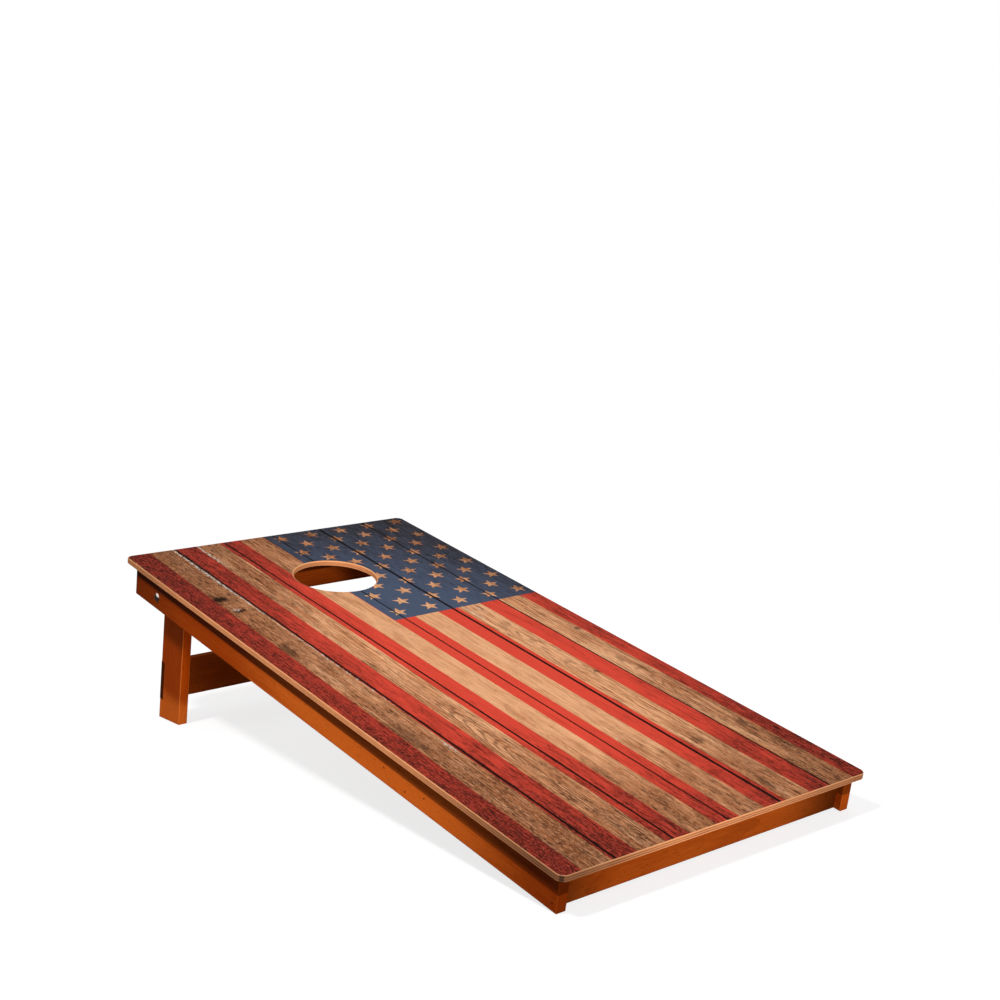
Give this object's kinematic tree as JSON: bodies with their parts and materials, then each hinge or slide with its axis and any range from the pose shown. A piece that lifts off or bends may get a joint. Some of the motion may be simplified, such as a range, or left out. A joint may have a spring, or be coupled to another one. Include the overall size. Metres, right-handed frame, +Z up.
{
  "type": "cornhole board",
  "caption": "Sloping plywood bag-toss board with a round hole near its raised end, on a stained wooden frame with fold-under legs and a printed weathered-plank flag face.",
  "frame": {"origin": "centre of the board's footprint, on the ground", "axes": "+Z up, +Y along the board towards the raised end with the hole, +X towards the right of a player who faces the hole"},
  "size_m": [0.6096, 1.1952, 0.31],
  "materials": {
    "birch_plywood": "clear satin over birch plywood, bare plies at the edges",
    "printed_face": "satin print of worn red stripes, a faded blue corner with plain stars and bare planks",
    "stained_frame_wood": "orange-brown stain, satin",
    "stained_leg_wood": "orange-brown stain, satin",
    "zinc_steel": "bright zinc plate",
    "black_steel": "black oxide",
    "nylon": "moulded nylon",
    "screw_steel": "yellow zinc plate"
  },
  "bodies": {
    "board": {"deck_panel": "birch_plywood", "deck_graphic": "printed_face", "left_side_rail": "stained_frame_wood", "right_side_rail": "stained_frame_wood", "front_rail": "stained_frame_wood", "rear_rail": "stained_frame_wood", "centre_brace": "stained_frame_wood", "left_pivot_block": "stained_frame_wood", "right_pivot_block": "stained_frame_wood", "left_pivot_bolt": "black_steel", "left_spacer_washer": "zinc_steel", "left_nut_washer": "zinc_steel", "left_lock_nut": "zinc_steel", "left_nut_insert": "nylon", "right_pivot_bolt": "black_steel", "right_spacer_washer": "zinc_steel", "right_nut_washer": "zinc_steel", "right_lock_nut": "zinc_steel", "right_nut_insert": "nylon", "deck_screws": "screw_steel", "corner_screws": "screw_steel", "block_screws": "screw_steel"},
    "leg_frame": {"left_leg": "stained_leg_wood", "right_leg": "stained_leg_wood", "upper_crossbar": "stained_leg_wood", "lower_crossbar": "stained_leg_wood", "crossbar_screws": "screw_steel"}
  },
  "joints": [
    {"name": "leg_fold", "type": "hinge", "parent": "board", "child": "leg_frame", "pos_m": [0, 0.5026, 0.24714], "axis": [-1, 0, 0], "range_deg": [0, 90]}
  ]
}
